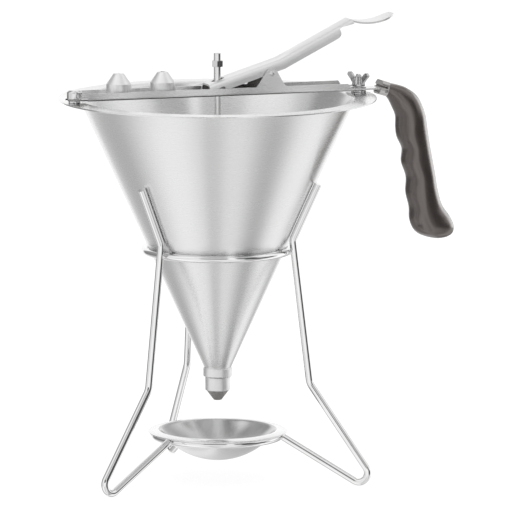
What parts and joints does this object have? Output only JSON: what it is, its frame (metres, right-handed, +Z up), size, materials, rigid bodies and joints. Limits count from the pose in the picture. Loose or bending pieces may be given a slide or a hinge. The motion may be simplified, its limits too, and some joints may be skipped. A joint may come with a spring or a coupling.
{
  "type": "batter dispensing funnel",
  "caption": "Conical batter funnel with a thumb lever that lifts a rod valve and a finger grip, resting in a wire stand over a drip dish, with spare nozzles on its bridge.",
  "frame": {"origin": "on the funnel's axis, on the table plane under the stand's feet", "axes": "+Z up along the funnel's axis, +X along the bridge towards the finger grip, +Y across the bridge"},
  "size_m": [0.2778, 0.217, 0.3158],
  "materials": {
    "brushed_sheet": "brushed, satin",
    "polished_wire": "polished",
    "polished_steel": "polished",
    "turned_steel": "fine turned",
    "plain_steel": "satin",
    "grip_plastic": "moulded, satin"
  },
  "bodies": {
    "stand": {"upper_ring": "polished_wire", "lower_ring": "polished_wire", "leg_left": "polished_wire", "leg_right": "polished_wire", "leg_rear": "polished_wire"},
    "dish": {"drip_dish": "brushed_sheet"},
    "funnel": {"cone_shell": "brushed_sheet", "outlet_collar": "brushed_sheet", "keeper_stud": "polished_steel", "clamp_stud": "polished_steel", "stud_spacer": "plain_steel", "bridge_channel": "brushed_sheet", "rod_guide": "plain_steel", "park_peg_outer": "plain_steel", "park_peg_inner": "plain_steel", "pivot_pin": "plain_steel", "return_spring": "plain_steel", "clamp_washer": "polished_steel", "grip_ferrule": "plain_steel", "grip_rivet": "plain_steel", "grip": "grip_plastic"},
    "wing_nut": {"wing_nut": "polished_steel"},
    "lever": {"lever": "brushed_sheet"},
    "valve": {"valve_rod": "polished_steel", "lift_pin": "plain_steel", "valve_plug": "plain_steel"},
    "adjusting_nut": {"adjusting_nut": "polished_steel"},
    "nozzle": {"nozzle": "turned_steel"},
    "spare_outer": {"spare_nozzle_outer": "turned_steel"},
    "spare_inner": {"spare_nozzle_inner": "turned_steel"}
  },
  "joints": [
    {"name": "dish_lift", "type": "slide", "parent": "stand", "child": "dish", "axis": [0, 0, 1], "range_m": [0, 0.015]},
    {"name": "funnel_lift", "type": "slide", "parent": "stand", "child": "funnel", "axis": [0, 0, 1], "range_m": [0, 0.06]},
    {"name": "lever_pivot", "type": "hinge", "parent": "funnel", "child": "lever", "pos_m": [0.0354, 0, 0.2781], "axis": [0, 1, 0], "range_deg": [0, 20], "stiffness_Nm_per_rad": 0.6, "springref_deg": -17.19, "deforming": ["return_spring"]},
    {"name": "valve_lift", "type": "slide", "parent": "funnel", "child": "valve", "axis": [0, 0, 1], "range_m": [0, 0.0128]},
    {"name": "nut_turn", "type": "hinge", "parent": "valve", "child": "adjusting_nut", "pos_m": [0, 0, 0.285], "axis": [0, 0, 1], "continuous": true},
    {"name": "wing_nut_turn", "type": "hinge", "parent": "funnel", "child": "wing_nut", "pos_m": [0.101, 0, 0.27], "axis": [0, 0, 1], "continuous": true},
    {"name": "nozzle_turn", "type": "hinge", "parent": "funnel", "child": "nozzle", "pos_m": [0, 0, 0.065], "axis": [0, 0, 1], "continuous": true},
    {"name": "spare_outer_turn", "type": "hinge", "parent": "funnel", "child": "spare_outer", "pos_m": [-0.0698, 0, 0.27], "axis": [0, 0, 1], "continuous": true},
    {"name": "spare_inner_turn", "type": "hinge", "parent": "funnel", "child": "spare_inner", "pos_m": [-0.0389, 0, 0.27], "axis": [0, 0, 1], "continuous": true}
  ],
  "couplings": [
    {"joint": "valve_lift", "follows": "lever_pivot", "m_per_rad": 0.0365}
  ]
}
